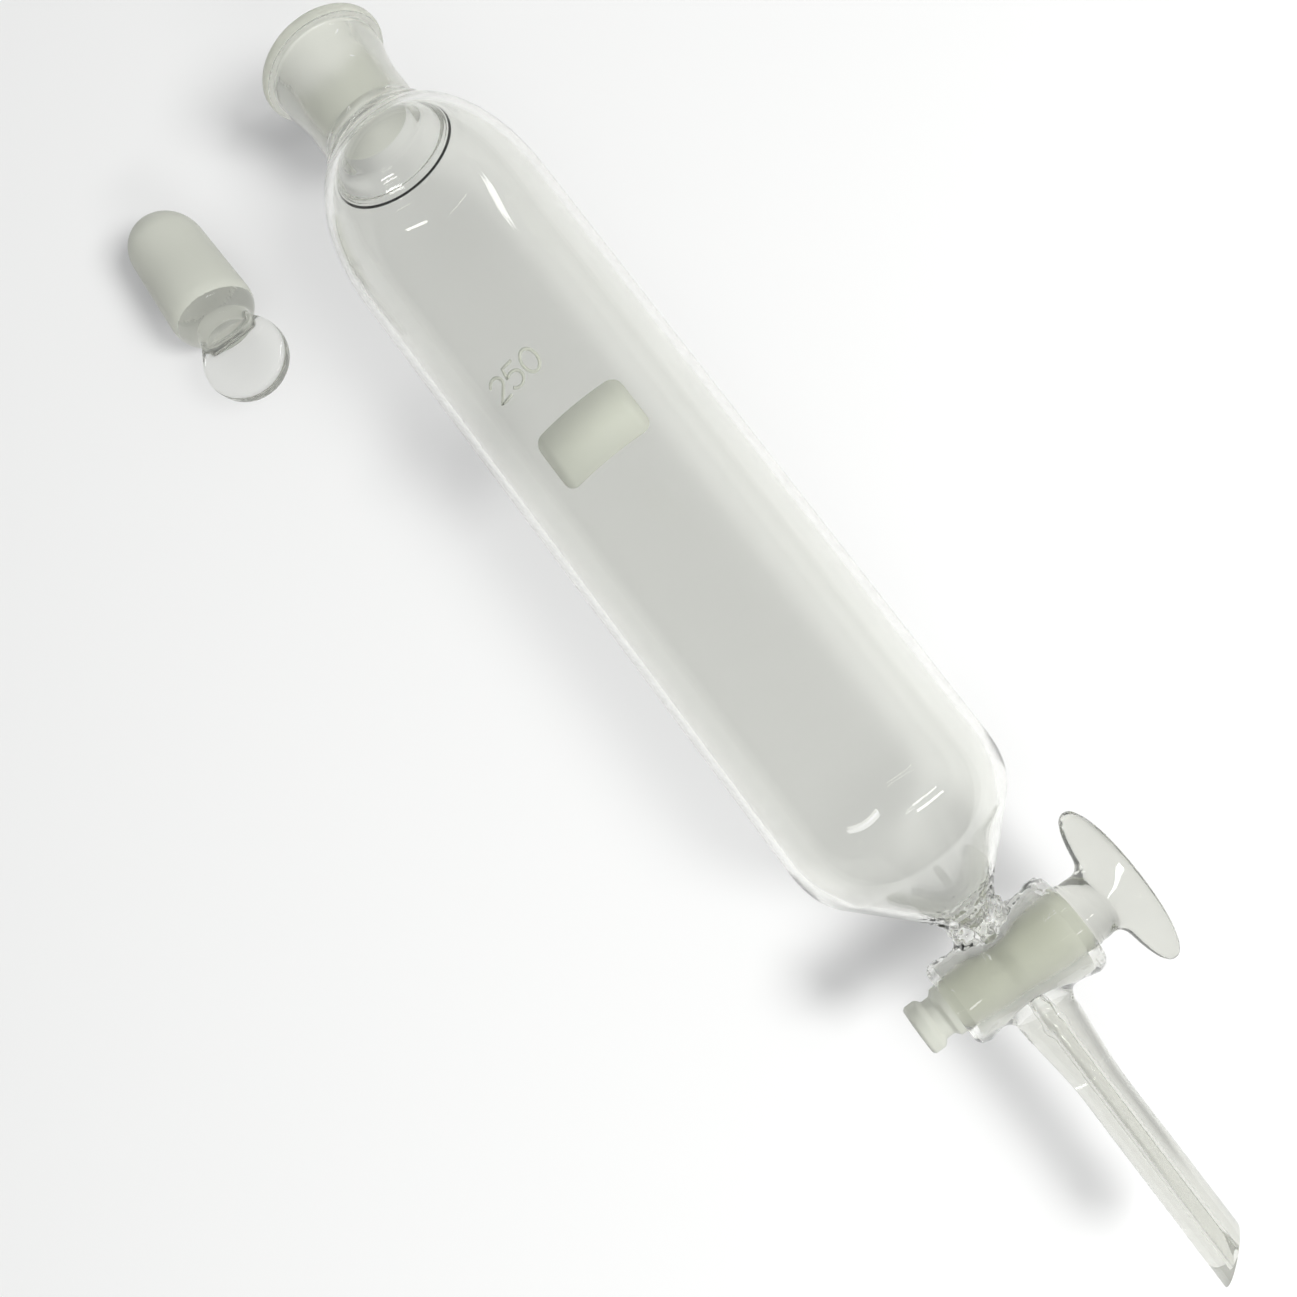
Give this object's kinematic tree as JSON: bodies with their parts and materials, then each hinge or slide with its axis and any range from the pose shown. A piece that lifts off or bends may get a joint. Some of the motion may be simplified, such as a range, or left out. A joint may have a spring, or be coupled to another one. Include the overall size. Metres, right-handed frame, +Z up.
{
  "type": "separatory funnel",
  "caption": "Cylindrical glass separatory funnel with a cone bottom, a T-handled glass stopcock, a slant-tipped stem and a loose ground stopper; it drains one liquid layer from under another.",
  "frame": {"origin": "on the surface that the funnel lies on, under the middle of the box that holds the funnel and its stopper", "axes": "+X along the funnel's axis from the mouth to the stem's tip, +Y towards the stopcock's handle, +Z up; the funnel lies on its side and its axis is 25 mm above the surface"},
  "size_m": [0.3272, 0.0984, 0.05],
  "materials": {
    "clear_glass": "clear, fire-polished borosilicate glass",
    "ground_glass": "frosted, ground borosilicate glass"
  },
  "bodies": {
    "vessel": {"body_shell": "clear_glass", "mouth_socket": "ground_glass", "inlet_tube": "clear_glass", "stopcock_barrel": "ground_glass", "delivery_stem": "clear_glass"},
    "plug": {"stopcock_plug": "ground_glass", "plug_handle": "clear_glass"},
    "stopper": {"stopper_taper": "ground_glass", "stopper_head": "clear_glass"}
  },
  "joints": [
    {"name": "plug_turn", "type": "hinge", "parent": "vessel", "child": "plug", "pos_m": [0.09025, 0.0173, 0.025], "axis": [0, 1, 0], "continuous": true},
    {"name": "stopper_swing", "type": "hinge", "parent": "vessel", "child": "stopper", "pos_m": [-0.16192, -0.0109, 0.0177], "axis": [0.024, 0.2748, -0.9612], "range_deg": [0, 180.79]}
  ]
}
